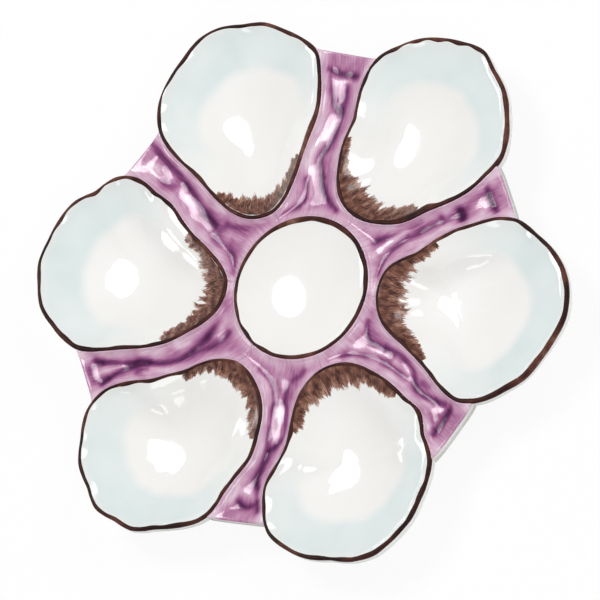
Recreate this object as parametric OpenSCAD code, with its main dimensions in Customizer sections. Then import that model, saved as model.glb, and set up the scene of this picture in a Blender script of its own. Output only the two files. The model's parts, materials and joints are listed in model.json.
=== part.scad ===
// Oyster plate: six oyster wells round a sauce well, joined by moulded webs, on a foot ring.
// Origin: centre of the foot ring on the table. +Z is up. Lengths are in millimetres.

/* [Plate] */
// Clay thickness of the wells and webs
wall_t = 5; // [4:0.1:6]
// Height of the oyster wells' undersides above the table
foot_h = 6; // [3.5:0.1:8]
// Distance of the ring of oyster wells from the origin, along X
ring_x = -1; // [-2:0.1:0]
// Clear width of clay between two oyster wells of nominal size
web_w = 8.3; // [7.5:0.1:11]
// Least clear width of clay between the sauce well and an oyster well's hinge end
hinge_w = 1.5; // [1:0.1:3]

/* [Oyster wells] */
// Nominal radius of an oyster well's rim, which the outlines multiply
well_r = 36; // [32:0.1:40]
// Depth of an oyster well below its rim
well_depth = 11.2; // [9:0.1:13]
// Distance of a well's lowest point from its middle, towards the hinge end
bowl_shift = 8; // [0:0.1:10]
// Drop from the rim to the edge of the well's floor, at its outer end
shoulder_drop = 6.5; // [5:0.1:7.5]
// Drop from the rim to the edge of the well's floor, at its hinge end
hinge_drop = 4.6; // [3:0.1:6]
// Drop of the steep lip just inside the rim, at the well's outer end
lip_drop = 1.3; // [0.5:0.1:3]
// Width over which the steep lip fades into the shoulder
lip_w = 2; // [1:0.1:3]
// Direction of the first oyster well's middle, in degrees from +X
first_well_deg = 110.8; // [90:0.1:130]

/* [Sauce well] */
// Radius of the sauce well's rim
sauce_r = 28.5; // [26:0.1:30]
// Depth of the sauce well below its rim
sauce_depth = 6.6; // [5:0.1:9]
// Distance of the sauce well's axis from the origin, along X
sauce_x = 1; // [0:0.1:2]

/* [Webs] */
// Depth of the moulded valleys below the rims
valley_depth = 2.6; // [2:0.1:4]
// Distance from a rim to the valley's bottom
valley_half_w = 6; // [4:0.1:8]
// Drop from the top of a painted rim to the lilac glaze beside it
web_lip = 0.4; // [0.2:0.05:0.8]
// Thickness of the lilac glaze
glaze_t = 0.3; // [0.2:0.05:0.4]

/* [Foot ring] */
// Outer radius of the foot ring on the table
foot_r = 66; // [60:0.1:72]
// Width of the foot ring on the table
foot_w = 3.5; // [2.5:0.1:5]
// How far the foot ring's two sides spread towards the plate
foot_flare = 1.2; // [0.5:0.1:2]

/* [Painted decoration] */
// Width of a brown rim line
line_w = 1.8; // [1:0.1:2.5]
// Thickness of the brown enamel
line_t = 0.35; // [0.2:0.05:0.5]
// Typical length of the brush marks, from the rim line into the well
brush_len = 9; // [6:0.1:10]

/* [Hidden] */
well_count = 6;

// Rim radii of each well, as shares of well_r, every 15 degrees from the hinge end round to it again
outline_shares = [
  [1.27, 1.10, 0.95, 0.89, 0.90, 0.92, 0.96, 1.03, 1.00, 0.98, 1.00, 0.99,
   1.04, 1.06, 1.03, 1.04, 1.06, 1.04, 0.97, 0.90, 0.88, 0.94, 1.08, 1.24],
  [1.22, 1.16, 1.08, 0.97, 0.95, 0.97, 0.99, 1.04, 1.01, 0.99, 0.99, 0.98,
   1.03, 1.00, 0.99, 1.00, 1.00, 1.02, 0.96, 0.89, 0.86, 0.95, 1.06, 1.19],
  [1.23, 1.13, 0.96, 0.88, 0.88, 0.96, 1.06, 1.06, 1.02, 1.01, 0.98, 1.00,
   1.04, 1.04, 1.03, 1.00, 0.98, 1.01, 0.98, 0.93, 0.93, 0.95, 1.01, 1.21],
  [1.20, 1.10, 0.94, 0.84, 0.86, 0.99, 1.07, 1.13, 1.09, 1.05, 1.00, 1.02,
   1.02, 0.98, 0.96, 0.93, 0.94, 0.95, 0.91, 0.98, 0.96, 1.01, 1.09, 1.19],
  [1.19, 1.06, 0.89, 0.84, 0.85, 0.97, 1.11, 1.15, 1.10, 1.09, 1.03, 1.04,
   0.97, 0.96, 0.89, 0.88, 0.91, 0.93, 0.88, 0.90, 1.00, 1.07, 1.16, 1.20],
  [1.36, 1.13, 0.95, 0.90, 0.92, 0.94, 1.04, 1.07, 0.99, 1.02, 1.00, 0.98,
   1.00, 0.98, 0.99, 0.96, 0.96, 0.96, 0.91, 0.90, 0.96, 1.07, 1.19, 1.35]
];
// Where each well's rim meets the outer edge of the web after it and of the web before it
after_corner_deg = [-72, -80, -81, -81, -81, -79];
before_corner_deg = [77, 76, 78, 72, 72, 71];
// Ends of each well's brush marks, as angles to either side of its hinge end
brush_before_deg = [37, 48, 48, 54, 48, 46];
brush_after_deg = [31, 38, 52, 37, 33, 33];
// Length of each well's longest brush marks, as shares of brush_len
brush_shares = [1.1, 1.05, 1.2, 0.95, 0.9, 1.2];
// Length of every brush mark in turn, as shares of the longest
tuft_shares = [1, 0.62, 0.88, 0.5, 0.95, 0.7, 0.85, 0.55];
// Edge of a well's floor at its outer end and at its hinge end, as shares of the rim radius there
floor_outer_share = 0.53;
floor_hinge_share = 0.78;
// Power that keeps the hinge end's gentle slope to the hinge end
hinge_power = 4;
// Rings of points across a well, as shares of the floor's edge and of the shoulder beyond it
floor_ring_shares = [0.25, 0.65, 1];
shoulder_ring_shares = [0.55, 0.88];
// Sag of a web along the plate's outer edge, as a share of its sag further in
web_end_share = 0.45;
// Rows of points along the brush marks, from their tips to the rim line, as shares of their length
tuft_column_shares = [1, 0.7, 0.4, 0.15, 0];
// Length of the brush marks at both ends of their row, as a share of the length in its middle
tuft_end_share = 0.2;

rim_h = foot_h + wall_t + well_depth;
well_step_deg = 360 / well_count;
crest_half = line_w / 2;
sauce_in = sauce_r - crest_half;
sauce_out = sauce_r + crest_half;
// Distances of the oyster wells' middles from their ring's centre that keep each hinge end off the sauce well
hinge_reaches = [
  for (w = [0:well_count - 1])
    sauce_out + hinge_w + crest_half + well_r * outline_shares[w][0]
      + (sauce_x - ring_x) * cos(well_deg(w))
];
ring_r = max(2 * (well_r + web_w / 2), max(hinge_reaches));
crest_ring = len(floor_ring_shares) + len(shoulder_ring_shares) + 1;
floor_edge_ring = len(floor_ring_shares) - 1;
// Rings that the underside keeps: the floor's middle and edge, one on the shoulder and the crest's outer edge
under_rings = [0, floor_edge_ring, floor_edge_ring + 1, crest_ring];
well_sides = 48;
web_rows = 14;
web_columns = 6;
brush_steps = 40;
foot_sides = 120;
sauce_rings = 14;
sauce_sides = 96;
// Gap left where one curved face seats on another
seat = 0.1;
// Radius at which the webs start, so that their straight sides clear the sauce well
web_start_r = sauce_out / cos(well_step_deg / web_columns / 2);

// Cubic curve through the second and third of four values
function cubic(v, f) =
  v[1] + f / 2 * (v[2] - v[0]
    + f * (2 * v[0] - 5 * v[1] + 4 * v[2] - v[3] + f * (3 * (v[1] - v[2]) + v[3] - v[0])));

// Value at an angle between -180 and 180 degrees of a closed list of values
function around(values, deg) =
  let (
    n = len(values),
    at = (deg + 180) / 360 * n,
    first = floor(at)
  )
  cubic([for (j = [-1:2]) values[(first + j + 2 * n) % n]], at - first);

function polar(r, deg) = r * [cos(deg), sin(deg)];
function mix(a, b, f) = a + (b - a) * f;
function turned(deg) = (deg + 900) % 360 - 180;

function well_deg(w) = first_well_deg - w * well_step_deg;
function well_middle(w) = [ring_x, 0] + polar(ring_r, well_deg(w));
function rim_r(w, deg) = well_r * around(outline_shares[w], deg);
function crest_in(w, deg) = rim_r(w, deg) - crest_half;
function crest_out(w, deg) = rim_r(w, deg) + crest_half;
// How near an angle is to the hinge end, from 0 at the outer end to 1, and how much of its gentle slope it has
function hinge_share(deg) = (1 - cos(deg)) / 2;
function at_hinge(deg) = pow(hinge_share(deg), hinge_power);
function floor_r(w, deg) =
  crest_in(w, deg) * mix(floor_outer_share, floor_hinge_share, hinge_share(deg));
// Point of the plan at a distance and an angle from a well's middle, counted from its outward direction
function well_point(w, r, deg) = well_middle(w) + polar(r, well_deg(w) + deg);
// Lowest point of a well's floor on the plan
function well_low(w) = well_point(w, bowl_shift, 180);
function floor_edge(w, deg) = well_point(w, floor_r(w, deg), deg);

// Depth below the rim of the edge of a well's floor, and of a point at a share of the way out to it
function edge_drop(deg) = mix(shoulder_drop, hinge_drop, at_hinge(deg));
function floor_drop(deg, share) =
  let (edge = edge_drop(deg))
  edge + (well_depth - edge) * (1 - pow(share, 2));
// Depth below the rim of a point of a well's shoulder, at a share of the way out from the floor's edge
function shoulder_drop_at(w, deg, share) =
  let (
    lip = mix(lip_drop, 0, at_hinge(deg)),
    distance = (crest_in(w, deg) - floor_r(w, deg)) * (1 - share)
  )
  lip * (1 - exp(-distance / lip_w)) + (edge_drop(deg) - lip) * (1 - share);

// Points of a well's rings at one angle, from the floor's middle to the crest's outer edge, each with its drop
function ring_points(w, deg) =
  let (
    edge = floor_edge(w, deg),
    crest = well_point(w, crest_in(w, deg), deg)
  )
  [
    for (share = floor_ring_shares) [mix(well_low(w), edge, share), floor_drop(deg, share)],
    for (share = shoulder_ring_shares) [mix(edge, crest, share), shoulder_drop_at(w, deg, share)],
    [crest, 0],
    [well_point(w, crest_out(w, deg), deg), 0]
  ];

// Depth below the rim of the faceted inside near the hinge end, at a distance from the well's middle
function inside_drop(w, deg, r) =
  lookup(r, [for (row = ring_points(w, deg)) [norm(row[0] - well_middle(w)), row[1]]]);

// Distance and angle of a point of the plan from a well's middle or from its lowest point
function from_point(w, origin, p) =
  let (d = p - origin)
  [norm(d), turned(atan2(d[1], d[0]) - well_deg(w))];
function from_well(w, p) = from_point(w, well_middle(w), p);
function beyond_rim(w, p) =
  let (q = from_well(w, p))
  q[0] - crest_out(w, q[1]);
function beyond_sauce(p) = norm(p - [sauce_x, 0]) - sauce_out;

// Sag of the web between the rims around it
function web_sag(p) =
  let (
    rims = [beyond_sauce(p), for (w = [0:well_count - 1]) beyond_rim(w, p)],
    f = min(1, max(0, min(rims) / valley_half_w))
  )
  valley_depth * f * (2 - f);

// Angles round a well at which its rings have their points
side_degs = [for (j = [0:well_sides]) -180 + j * 360 / well_sides];

// Depth below the rim of the faceted underside of well w, less its thickness
function under_drop(w, p) =
  let (
    from_low = from_point(w, well_low(w), p),
    spokes = [
      for (deg = side_degs)
        let (edge = from_point(w, well_low(w), floor_edge(w, deg)))
        [abs(deg) == 180 ? deg : edge[1], edge[0], edge_drop(deg)]
    ],
    share = from_low[0] / lookup(from_low[1], [for (spoke = spokes) [spoke[0], spoke[1]]]),
    drop = lookup(from_low[1], [for (spoke = spokes) [spoke[0], spoke[2]]]),
    inner = floor_ring_shares[0],
    from_middle = from_well(w, p),
    rings = ring_points(w, from_middle[1])
  )
  share < 1
    ? lookup(share, [[inner, drop + (well_depth - drop) * (1 - pow(inner, 2))], [1, drop]])
    : lookup(from_middle[0], [
        for (k = [floor_edge_ring, floor_edge_ring + 1, crest_ring])
          [norm(rings[k][0] - well_middle(w)), rings[k][1]]
      ]);

// Height of the plate's underside over a point of the plan
function under_z(p) =
  let (
    inside = [
      for (w = [0:well_count - 1])
        let (q = from_well(w, p))
        if (q[0] < crest_out(w, q[1])) under_drop(w, p)
    ]
  )
  rim_h - wall_t - (len(inside) > 0 ? inside[0] : web_sag(p));

// Faces between neighbouring rings of points that each close on themselves
function band_faces(n, lower, upper) = [
  for (j = [0:n - 1])
    let (k = (j + 1) % n)
    each [
      [lower * n + j, lower * n + k, upper * n + k],
      [lower * n + j, upper * n + k, upper * n + j]
    ]
];

// Solid through closed rings of points, capped by its first and last rings
module capped_rings(rings) {
  n = len(rings[0]);
  polyhedron(
    points = [for (ring = rings) each ring],
    faces = [
      [for (j = [0:n - 1]) n - 1 - j],
      for (k = [0:len(rings) - 2]) each band_faces(n, k, k + 1),
      [for (j = [0:n - 1]) (len(rings) - 1) * n + j]
    ],
    convexity = 6
  );
}

// Ring-shaped solid through closed rings of points, the last joined to the first
module looped_rings(rings) {
  n = len(rings[0]);
  polyhedron(
    points = [for (ring = rings) each ring],
    faces = [for (k = [0:len(rings) - 1]) each band_faces(n, k, (k + 1) % len(rings))],
    convexity = 6
  );
}

// Ring k of a well's points, at a thickness below the inside's surface
function well_ring(w, k, thick) = [
  for (j = [0:well_sides - 1])
    let (row = ring_points(w, side_degs[j])[k])
    [row[0][0], row[0][1], rim_h - row[1] - thick]
];

module oyster_well(w) {
  color("#eef3f1")
    capped_rings([
      for (k = [0:crest_ring]) well_ring(w, k, 0),
      for (k = [len(under_rings) - 1:-1:0]) well_ring(w, under_rings[k], wall_t)
    ]);
}

// Height of the sauce well's inside at a radius
function sauce_z(r) = rim_h - sauce_depth * (1 - pow(r / sauce_in, 2));

module sauce_well() {
  radii = [for (k = [0:sauce_rings]) sauce_in * k / sauce_rings];
  color("#f4f5f3")
    translate([sauce_x, 0, 0])
      rotate_extrude($fn = sauce_sides)
        polygon([
          for (r = radii) [r, sauce_z(r)],
          [sauce_out, rim_h],
          [sauce_out, rim_h - wall_t],
          for (k = [sauce_rings - 1:-1:0]) [radii[k], sauce_z(radii[k]) - wall_t]
        ]);
}

// Point of a web's side along a well's rim: the sauce well's rim first, then from the hinge outwards
function web_side_point(w, corner_deg, row) =
  let (
    hinge = well_point(w, crest_out(w, -180), -180),
    outward = hinge - [sauce_x, 0],
    f = (row - 1) / (web_rows - 1),
    deg = corner_deg < 0 ? mix(-180, corner_deg, f) : mix(180, corner_deg, f)
  )
  row == 0
    ? [sauce_x, 0] + outward / norm(outward) * web_start_r
    : well_point(w, crest_out(w, turned(deg)) + seat, deg);

// Grid of plan points across web w, in rows from the sauce well outwards
function web_grid(w) =
  let (
    next = (w + 1) % well_count,
    from = web_side_point(w, after_corner_deg[w], 0) - [sauce_x, 0],
    to = web_side_point(next, before_corner_deg[next], 0) - [sauce_x, 0],
    from_deg = atan2(from[1], from[0]),
    turn_deg = turned(atan2(to[1], to[0]) - from_deg)
  )
  [
    for (row = [0:web_rows])
      let (
        a = web_side_point(w, after_corner_deg[w], row),
        b = web_side_point(next, before_corner_deg[next], row)
      )
      [
        for (column = [0:web_columns])
          let (
            f = column / web_columns,
            bulge = polar(web_start_r, from_deg + turn_deg * f) - mix(from, to, f)
          )
          mix(a, b, f) + bulge * (1 - row / web_rows)
      ]
  ];

// Web w's grid at a depth below the rims and the web's sag
function web_sheet(w, depth) =
  let (grid = web_grid(w))
  [
    for (row = [0:web_rows])
      [
        for (p = grid[row])
          [p[0], p[1], rim_h - depth - web_sag(p) * (row < web_rows ? 1 : web_end_share)]
      ]
  ];

// Solid between two grids of points with the same plan
module skin(top, bottom) {
  rows = len(top);
  columns = len(top[0]);
  count = rows * columns;
  function at(i, j) = i * columns + j;
  edge = [
    for (j = [0:columns - 2]) at(0, j),
    for (i = [0:rows - 2]) at(i, columns - 1),
    for (j = [columns - 1:-1:1]) at(rows - 1, j),
    for (i = [rows - 1:-1:1]) at(i, 0)
  ];
  polyhedron(
    points = [for (row = top) each row, for (row = bottom) each row],
    faces = [
      for (i = [0:rows - 2], j = [0:columns - 2]) each [
        [at(i, j), at(i + 1, j), at(i + 1, j + 1)],
        [at(i, j), at(i + 1, j + 1), at(i, j + 1)],
        [count + at(i, j), count + at(i + 1, j + 1), count + at(i + 1, j)],
        [count + at(i, j), count + at(i, j + 1), count + at(i + 1, j + 1)]
      ],
      for (k = [0:len(edge) - 1])
        let (a = edge[k], b = edge[(k + 1) % len(edge)])
        each [[a, b, count + b], [a, count + b, count + a]]
    ],
    convexity = 6
  );
}

module web(w) {
  color("#e4d8e6") skin(web_sheet(w, web_lip + glaze_t), web_sheet(w, wall_t));
}

module lilac_glaze(w) {
  color("#b083b8") skin(web_sheet(w, web_lip), web_sheet(w, web_lip + glaze_t));
}

module foot_ring() {
  inner = foot_r - foot_w;
  plan = [
    [inner - foot_flare, true],
    [foot_r - foot_w / 2, true],
    [foot_r + foot_flare, true],
    [foot_r, false],
    [inner, false]
  ];
  color("#e9e4da")
    looped_rings([
      for (corner = plan) [
        for (j = [0:foot_sides - 1])
          let (p = polar(corner[0], j * 360 / foot_sides))
          [p[0], p[1], corner[1] ? under_z(p) - seat : 0]
      ]
    ]);
}

module rim_line(w) {
  color("#4a3026")
    looped_rings([
      well_ring(w, crest_ring - 1, 0),
      [
        for (j = [0:well_sides - 1])
          let (p = well_point(w, rim_r(w, side_degs[j]), side_degs[j]))
          [p[0], p[1], rim_h + line_t]
      ],
      well_ring(w, crest_ring, 0)
    ]);
}

module sauce_rim_line() {
  color("#4a3026")
    translate([sauce_x, 0, rim_h])
      rotate_extrude($fn = sauce_sides)
        polygon([
          [sauce_in, 0],
          [sauce_out, 0],
          [sauce_r, line_t]
        ]);
}

// Length of well w's brush marks at one step round its hinge end, short at both ends
function tuft_len(w, step) =
  let (f = 2 * step / brush_steps - 1)
  brush_len * brush_shares[w] * tuft_shares[step % len(tuft_shares)]
    * max(sqrt(1 - f * f), tuft_end_share);

// Point above well w's faceted inside, at an angle and at a distance in from its crest
function inside_point(w, deg, distance, height) =
  let (
    side_deg = 360 / well_sides,
    first = floor(deg / side_deg) * side_deg,
    ends = [
      for (at = [first, first + side_deg])
        let (
          r = crest_in(w, turned(at)) - distance,
          p = well_point(w, r, at)
        )
        [p[0], p[1], rim_h + height - inside_drop(w, turned(at), r)]
    ]
  )
  mix(ends[0], ends[1], (deg - first) / side_deg);

// Grid of points over well w's brush marks, at a height above the well's inside
function brush_sheet(w, height) = [
  for (step = [0:brush_steps])
    let (deg = mix(180 - brush_before_deg[w], 180 + brush_after_deg[w], step / brush_steps))
    [for (share = tuft_column_shares) inside_point(w, deg, tuft_len(w, step) * share, height)]
];

module brush_marks(w) {
  color("#5d3e31") skin(brush_sheet(w, seat + line_t), brush_sheet(w, seat));
}

for (k = [1:well_count]) {
  oyster_well(k - 1);
  web(k - 1);
  lilac_glaze(k - 1);
  rim_line(k - 1);
  brush_marks(k - 1);
}
sauce_well();
foot_ring();
sauce_rim_line();
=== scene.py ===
"""Oyster plate: white glazed wells, lilac glazed webs, and rim lines and brush marks in brown enamel.

Lengths are millimetres until a mesh is made, and angles are degrees. Plan angles run anticlockwise
from +X, and a well's own angles from its outward direction, so its hinge end is at 180.
"""

import json
import math

import bpy
import numpy as np
from mathutils import Matrix, Vector
from mathutils.bvhtree import BVHTree

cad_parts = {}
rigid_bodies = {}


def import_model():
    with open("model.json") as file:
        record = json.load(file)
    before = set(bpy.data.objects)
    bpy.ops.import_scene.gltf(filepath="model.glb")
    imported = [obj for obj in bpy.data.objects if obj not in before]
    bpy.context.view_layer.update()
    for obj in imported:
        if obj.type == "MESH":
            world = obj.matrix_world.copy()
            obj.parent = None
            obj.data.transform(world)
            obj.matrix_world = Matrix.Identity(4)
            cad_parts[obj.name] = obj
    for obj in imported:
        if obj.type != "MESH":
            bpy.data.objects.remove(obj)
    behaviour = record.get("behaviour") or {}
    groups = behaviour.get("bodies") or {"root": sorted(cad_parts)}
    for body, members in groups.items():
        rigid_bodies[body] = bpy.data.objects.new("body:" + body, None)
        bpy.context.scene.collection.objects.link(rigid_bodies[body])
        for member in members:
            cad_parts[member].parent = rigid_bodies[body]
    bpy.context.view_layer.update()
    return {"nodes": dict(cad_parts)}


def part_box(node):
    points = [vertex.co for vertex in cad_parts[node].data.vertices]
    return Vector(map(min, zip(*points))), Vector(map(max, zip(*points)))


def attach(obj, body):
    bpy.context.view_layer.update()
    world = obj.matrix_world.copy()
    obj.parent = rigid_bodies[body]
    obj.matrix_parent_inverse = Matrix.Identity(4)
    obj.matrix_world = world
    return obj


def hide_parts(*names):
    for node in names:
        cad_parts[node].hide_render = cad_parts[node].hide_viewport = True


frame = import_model()
rng = np.random.default_rng(11)

MM = 0.001
BODY = "root"

# The plate, with the sizes that part.scad drives
WELL_COUNT = 6
FIRST_WELL_DEG = 110.8
RING_X = -1.0
RING_R = 80.3
WALL_T = 5.0
LINE_T = 0.35
CREST_HALF = 0.9
WELL_DEPTH = 11.2
SHOULDER_DROP = 6.5
SHOULDER_W = 17.0
FLOOR_OUTER_SHARE = 0.53
FLOOR_HINGE_SHARE = 0.78
SAUCE_DEPTH = 6.6
WEB_LIP = 0.4
GLAZE_T = 0.3
WEB_END_SHARE = 0.45
AFTER_CORNER_DEG = [-72, -80, -81, -81, -81, -79]
BEFORE_CORNER_DEG = [77, 76, 78, 72, 72, 71]

# Softer forms that only the scene has: how far outer walls stay inside the solids' walls, the radius
# of their rounded edges, and the fall of a crest's inner edge
WALL_INSET = 0.2
EDGE_ROUND = 1.3
CREST_SOFT = 0.15
# Distance over which a shoulder blends into the floor, and the weights of the heights blended there
BOWL_BLEND = 2.4
BLEND_WEIGHTS = {-2: 1, -1: 4, 0: 6, 1: 4, 2: 1}
# Power of a shoulder's width that its drop follows where it is narrower than SHOULDER_W
NARROW_POWER = 0.33
# Unevenness of the wells' insides: its height and length
WOBBLE = 0.02
WOBBLE_LENGTH = 34
# Lowest point of each well's floor, out from its middle and across, and the radii of the floor's
# curve there, along the well and across it
BOWLS = [
    (-9.4, 3.8, 90, 70),
    (-9.0, 4.0, 165, 108),
    (-17.0, 4.0, 100, 130),
    (-6.0, 1.5, 78, 72),
    (-5.0, 2.0, 90, 84),
    (-6.5, -2.0, 88, 84),
]
SAUCE_BOWL_R = 88
# Largest share of a floor's depth that its round curve takes; a steeper curve takes the rest
ROUND_SHARE = 0.97
# Steep lip just inside a well's rim: its drop and width, the share by which the drop varies along
# the rim, and how abruptly it ends
LIP_DROP = 1.4
LIP_W = 3.4
LIP_WAVE = 0.3
LIP_POWER = 5
# Drop from the rim to the edge of each well's floor at its hinge end, and how softly it begins
HINGE_DROPS = [5.4, 5.8, 4.4, 4.4, 4.0, 4.4]
HINGE_EASES = [0.0, 0.3, 0.4, 0.2, 0.0, 0.0]
# Valley between two rims: a short steep side, then a broad round bottom
VALLEY_SIDE_DROP = 1.0
VALLEY_SIDE_W = 0.9
VALLEY_ROUND_DROP = 1.5
VALLEY_ROUND_W = 7.0

# Counts of the meshes' points: a rim line's in the solids, round a rim, and over each form
RIM_POINTS = 48
SIDES = 288
SHOULDER_RINGS = 20
FLOOR_RINGS = 18
ROLL_STEPS = 6
WEB_ROWS = 170
WEB_COLUMNS = 60
LINE_COLUMNS = 9
BAND_ROWS = 9


def box_mm(node):
    """Lowest and highest corners of a CAD node, in millimetres."""
    low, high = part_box(node)
    return np.array(low) / MM, np.array(high) / MM


RIM_H = box_mm("oyster_well_1")[1][2]
sauce_low, sauce_high = box_mm("sauce_well")
SAUCE_MIDDLE = (sauce_low[:2] + sauce_high[:2]) / 2
SAUCE_R = (sauce_high[0] - sauce_low[0]) / 2 - CREST_HALF


def polar(r, deg):
    """Plan vectors of a length and direction."""
    turn = np.radians(deg)
    return np.stack([r * np.cos(turn), r * np.sin(turn)], -1)


def turned(deg):
    """The same angles, from -180 up to 180."""
    return (np.asarray(deg) + 900) % 360 - 180


def mix(a, b, f):
    return a + (b - a) * f


def smoothstep(low, high, x):
    f = np.clip((x - low) / (high - low), 0, 1)
    return f * f * (3 - 2 * f)


def hump(x, middle, width):
    """A smooth bump round a value."""
    return np.exp(-((x - middle) / width) ** 2)


def through(a, b, c, d, f):
    """A smooth curve from b to c, which a leads into and d leads out of."""
    return b + f / 2 * (c - a + f * (2 * a - 5 * b + 4 * c - d + f * (3 * (b - c) + d - a)))


def hinge_share(deg):
    """Share of the way from a well's outer end, at 0, to its hinge end, at 180."""
    return (1 - np.cos(np.radians(deg))) / 2


def around(values, deg):
    """Smooth value at an angle of a closed list of values, the first of them at -180."""
    n = len(values)
    at = (turned(deg) + 180) / 360 * n
    first = np.floor(at).astype(int)
    return through(*(values[(first + j) % n] for j in (-1, 0, 1, 2)), at - first)


def waves_round(low, high):
    """A random smooth function of an angle, about -1 to 1, of waves that fit round the circle."""
    counts = np.arange(low, high + 1)
    phases = rng.uniform(0, 360, len(counts))
    sizes = rng.normal(0, 1, len(counts)) / np.sqrt(len(counts))

    def value(deg):
        turns = np.radians(np.asarray(deg)[..., None] * counts + phases)
        return (np.cos(turns) * sizes).sum(-1)

    return value


def waves_over(length, count=9):
    """A random smooth function of a plan point, about -1 to 1, of waves about that long."""
    steepness = 2 * np.pi / (length * rng.uniform(0.7, 1.5, count))
    directions = polar(steepness, rng.uniform(0, 360, count))
    phases = rng.uniform(0, 2 * np.pi, count)

    def value(plan):
        return np.cos(plan @ directions.T + phases).sum(-1) / np.sqrt(count)

    return value


def with_height(plan, height):
    """Points over plan points, at a height."""
    return np.concatenate([plan, np.broadcast_to(height, plan.shape[:-1])[..., None]], -1)


# Meshes


def grid_faces(rows, columns, round_rows=False, round_columns=False):
    """Quads between neighbouring points of a grid, facing the side that rows x columns points to."""
    i, j = np.meshgrid(
        np.arange(rows if round_rows else rows - 1),
        np.arange(columns if round_columns else columns - 1),
        indexing="ij",
    )
    down, across = (i + 1) % rows, (j + 1) % columns
    corners = [(i, j), (down, j), (down, across), (i, across)]
    return np.stack([a * columns + b for a, b in corners], -1).reshape(-1, 4)


def placed(name, data):
    """A new object in the scene."""
    thing = bpy.data.objects.new(name, data)
    bpy.context.scene.collection.objects.link(thing)
    return thing


def piece(name, points, faces, finish, slot, replaces, sharp_deg=None, **attributes):
    """A smooth mesh of the object, which stands for a CAD node."""
    data = bpy.data.meshes.new(name)
    flat = np.asarray(points, float).reshape(-1, 3) * MM
    data.from_pydata(flat.tolist(), [], [[int(k) for k in face] for face in faces])
    data.polygons.foreach_set("use_smooth", [True] * len(data.polygons))
    for key, values in attributes.items():
        values = np.asarray(values, np.float32)
        kind, field = ("FLOAT", "value") if values.ndim == 1 else ("FLOAT_VECTOR", "vector")
        layer = data.attributes.new(key, kind, "POINT")
        layer.data.foreach_set(field, values.ravel())
    data.materials.append(finish)
    data.update()
    if sharp_deg:
        data.set_sharp_from_angle(angle=math.radians(sharp_deg))
    thing = placed(name, data)
    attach(thing, BODY)
    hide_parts(replaces)


def dish(rings):
    """Points and faces of a closed form through rings of points, with a pole at either end."""
    rows, columns = rings.shape[:2]
    first, last = rows * columns, rows * columns + 1
    poles = [rings[0].mean(0), rings[-1].mean(0)]
    j = np.arange(columns)
    k = (j + 1) % columns
    base = (rows - 1) * columns
    faces = grid_faces(rows, columns, round_columns=True).tolist()
    faces += np.stack([np.full(columns, first), j, k], -1).tolist()
    faces += np.stack([np.full(columns, last), base + k, base + j], -1).tolist()
    return np.concatenate([rings.reshape(-1, 3), poles]), faces


def slab(top, bottom):
    """Points and faces of a closed sheet between two grids of points."""
    rows, columns = top.shape[:2]
    count = rows * columns
    index = np.arange(count).reshape(rows, columns)
    edge = np.concatenate([index[0, :-1], index[:-1, -1], index[-1, :0:-1], index[:0:-1, 0]])
    after = np.roll(edge, -1)
    upper = grid_faces(rows, columns)
    sides = np.stack([edge, after, count + after, count + edge], -1)
    faces = np.concatenate([upper, upper[:, ::-1] + count, sides])
    return np.concatenate([top.reshape(-1, 3), bottom.reshape(-1, 3)]), faces


# Finishes


def colour(text):
    """Linear colour from a hexadecimal screen colour."""
    parts = [int(text[k : k + 2], 16) / 255 for k in (0, 2, 4)]
    return [p / 12.92 if p <= 0.04045 else ((p + 0.055) / 1.055) ** 2.4 for p in parts] + [1]


class Finish:
    """A Principled material and the nodes that vary its colour and surface."""

    def __init__(self, name, **values):
        self.material = bpy.data.materials.new(name)
        self.material.use_nodes = True
        self.tree = self.material.node_tree
        self.shader = self.tree.nodes["Principled BSDF"]
        for key, value in values.items():
            self.shader.inputs[key.replace("_", " ").title().replace("Ior", "IOR")].default_value = value
        self.place = self.tree.nodes.new("ShaderNodeTexCoord").outputs["Object"]

    def feed(self, socket, value):
        """Link another node's output to a socket, or set the socket to a plain value."""
        if isinstance(value, bpy.types.NodeSocket):
            self.tree.links.new(value, socket)
        else:
            socket.default_value = value

    def node(self, kind, **inputs):
        made = self.tree.nodes.new("ShaderNode" + kind)
        for key, value in inputs.items():
            self.feed(made.inputs[key], value)
        return made

    def noise(self, scale, detail=3.0, distortion=0.0, place=None):
        made = self.node("TexNoise", Vector=place or self.place, Scale=scale, Detail=detail,
                         Distortion=distortion)
        return made.outputs[0]

    def attribute(self, name, output="Fac"):
        """Values that a mesh holds at its points."""
        made = self.tree.nodes.new("ShaderNodeAttribute")
        made.attribute_name = name
        return made.outputs[output]

    def around_zero(self, value, size):
        """A noise value moved to lie round zero, with a size."""
        return self.math("MULTIPLY", self.math("SUBTRACT", value, 0.5), size)

    def math(self, operation, a, b):
        made = self.tree.nodes.new("ShaderNodeMath")
        made.operation = operation
        for socket, value in zip(made.inputs, (a, b)):
            self.feed(socket, value)
        return made.outputs[0]

    def ramp(self, fac, *stops):
        """Colours along a value, each stop a place and a hexadecimal colour."""
        made = self.node("ValToRGB", Fac=fac)
        elements = made.color_ramp.elements
        while len(elements) < len(stops):
            elements.new(0.5)
        for element, (at, text) in zip(elements, stops):
            element.position = at
            element.color = colour(text)
        return made.outputs[0]

    def blend(self, fac, a, b):
        """Mix of two colours, whose sockets on a Mix node are the seventh and eighth."""
        made = self.tree.nodes.new("ShaderNodeMix")
        made.data_type = "RGBA"
        for key, value in ((0, fac), (6, a), (7, b)):
            self.feed(made.inputs[key], value)
        return made.outputs[2]

    def set(self, socket, value):
        self.tree.links.new(value, self.shader.inputs[socket])

    def bump(self, height, distance, strength=1.0):
        made = self.node("Bump", Height=height, Distance=distance, Strength=strength)
        self.set("Normal", made.outputs[0])


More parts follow.
